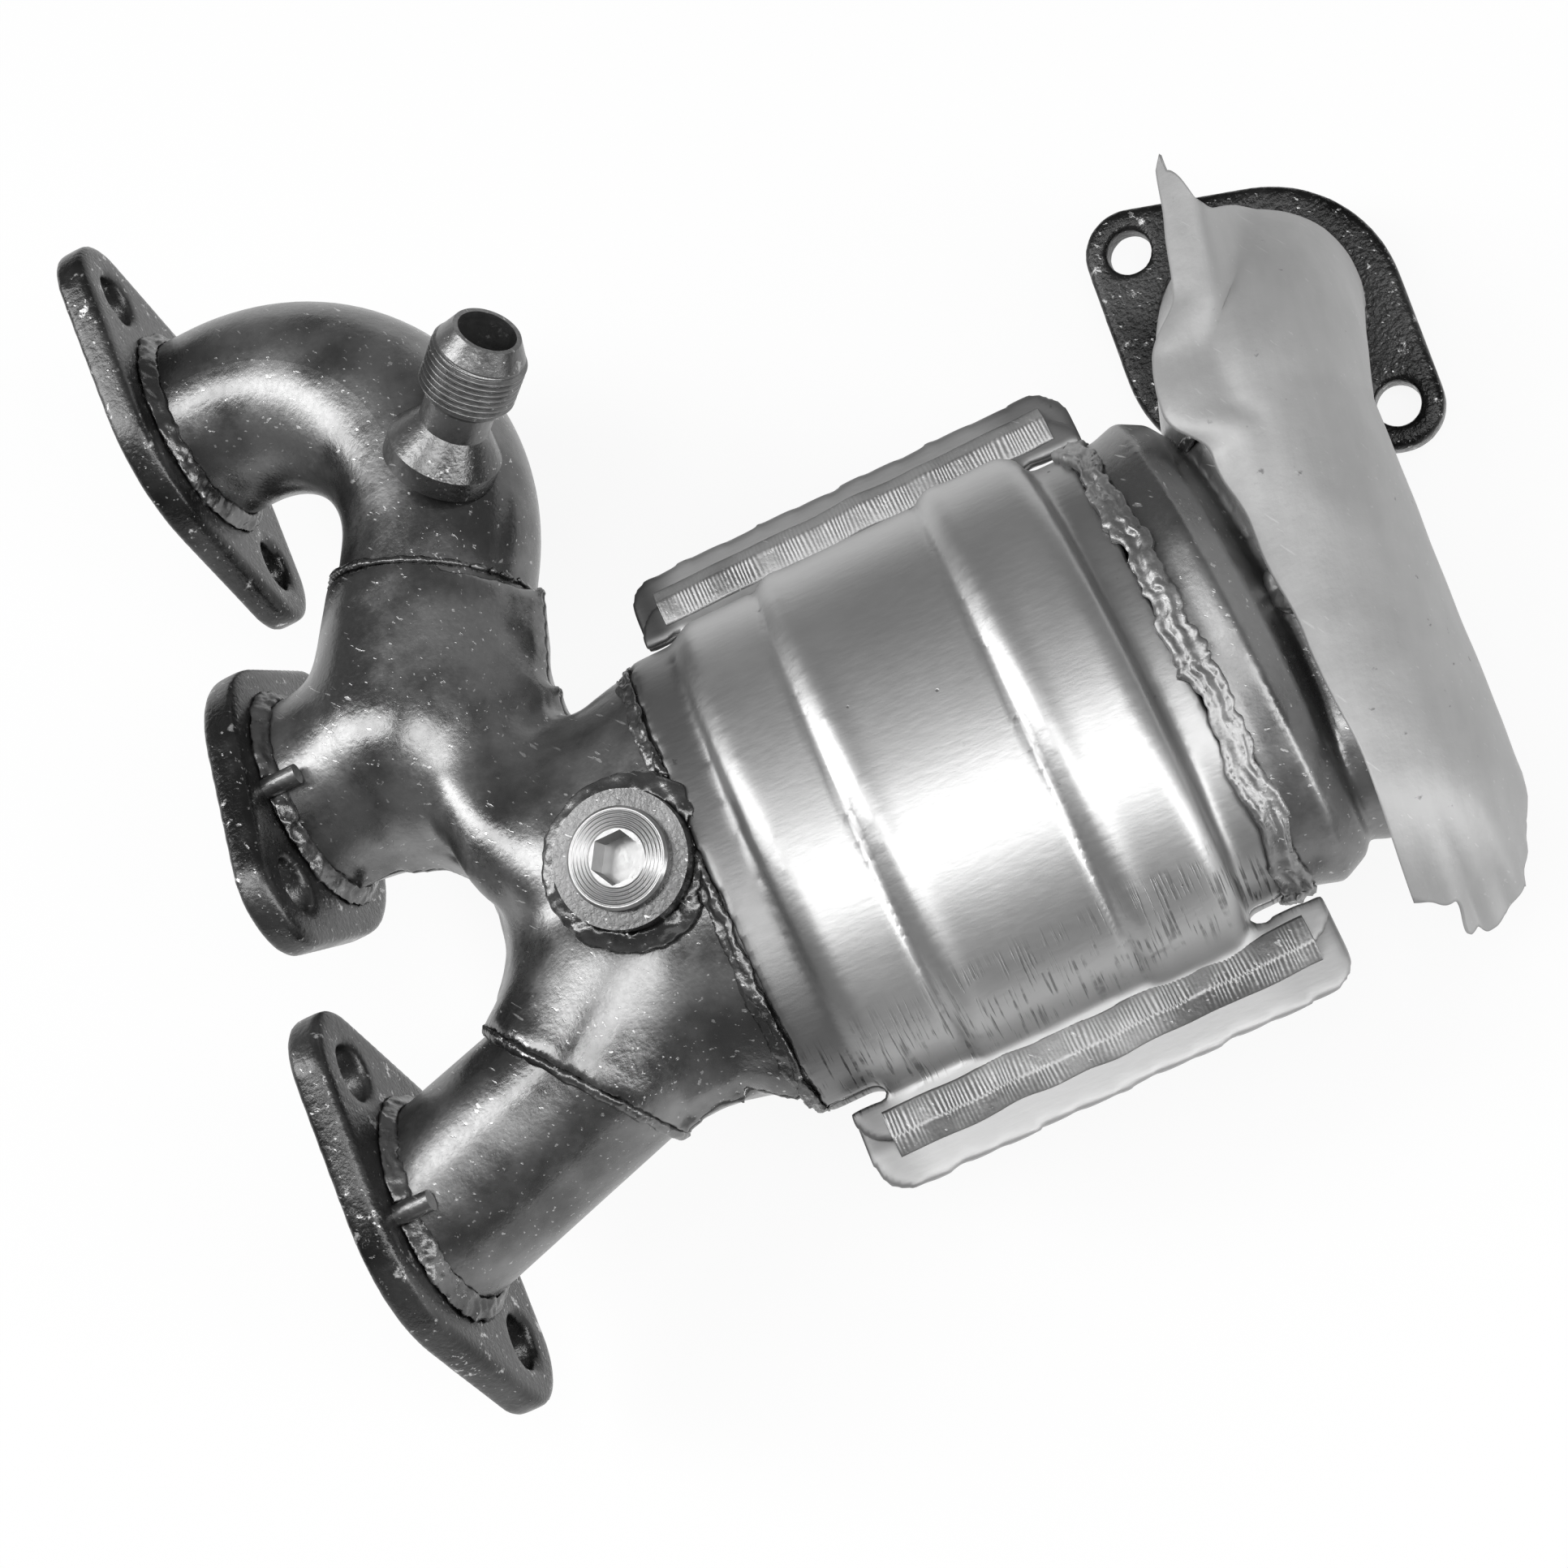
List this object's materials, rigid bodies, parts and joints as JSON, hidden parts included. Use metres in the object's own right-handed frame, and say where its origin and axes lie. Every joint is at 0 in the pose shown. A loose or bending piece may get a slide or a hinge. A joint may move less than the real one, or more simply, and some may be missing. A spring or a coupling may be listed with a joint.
{
  "type": "catalytic converter",
  "caption": "Exhaust manifold with a built-in oval catalytic converter, slanted stud flanges, a gas return fitting and a shielded outlet bend.",
  "frame": {"origin": "centre of the middle port on the face that seals against the cylinder head", "axes": "+X away from the cylinder head, +Y along the row of ports towards the gas return fitting, +Z towards the sensor boss"},
  "size_m": [0.2762, 0.2842, 0.1141],
  "materials": {
    "dark_flange": "black heat scale, glossy, with bright scratches",
    "runner_steel": "dark heat-tinted steel, satin to glossy",
    "merge_steel": "dark heat-tinted pressed steel",
    "fitting_steel": "turned steel, darkened by heat",
    "boss_steel": "turned steel, darkened by heat",
    "plug_steel": "bright turned steel",
    "converter_shell": "satin stainless steel, stained",
    "brick": "porous ceramic, matte",
    "mat": "grey fibre mat",
    "hood_steel": "satin steel with heat tint",
    "pipe_steel": "satin steel",
    "outlet_flange_steel": "black grainy scale, glossy",
    "shield_sheet": "light grey sheet, matte",
    "weld_metal": "rippled weld bead"
  },
  "bodies": {
    "root": {"head_flange_1": "dark_flange", "head_flange_2": "dark_flange", "head_flange_3": "dark_flange", "runner_1": "runner_steel", "runner_3": "runner_steel", "merge_upper_shell": "merge_steel", "merge_lower_shell": "merge_steel", "egr_fitting": "fitting_steel", "sensor_boss": "boss_steel", "sensor_plug": "plug_steel", "converter_upper_shell": "converter_shell", "converter_lower_shell": "converter_shell", "ceramic_brick": "brick", "support_mat": "mat", "outlet_hood": "hood_steel", "outlet_pipe": "pipe_steel", "outlet_flange": "outlet_flange_steel", "heat_shield": "shield_sheet", "shield_pads": "weld_metal", "shield_tab": "weld_metal", "stub_pins": "fitting_steel", "flange_welds": "weld_metal", "runner_welds": "weld_metal", "sensor_boss_weld": "weld_metal", "shell_seam_welds": "weld_metal", "inlet_neck_weld": "weld_metal", "outlet_neck_weld": "weld_metal", "outlet_pipe_welds": "weld_metal"}
  },
  "joints": []
}
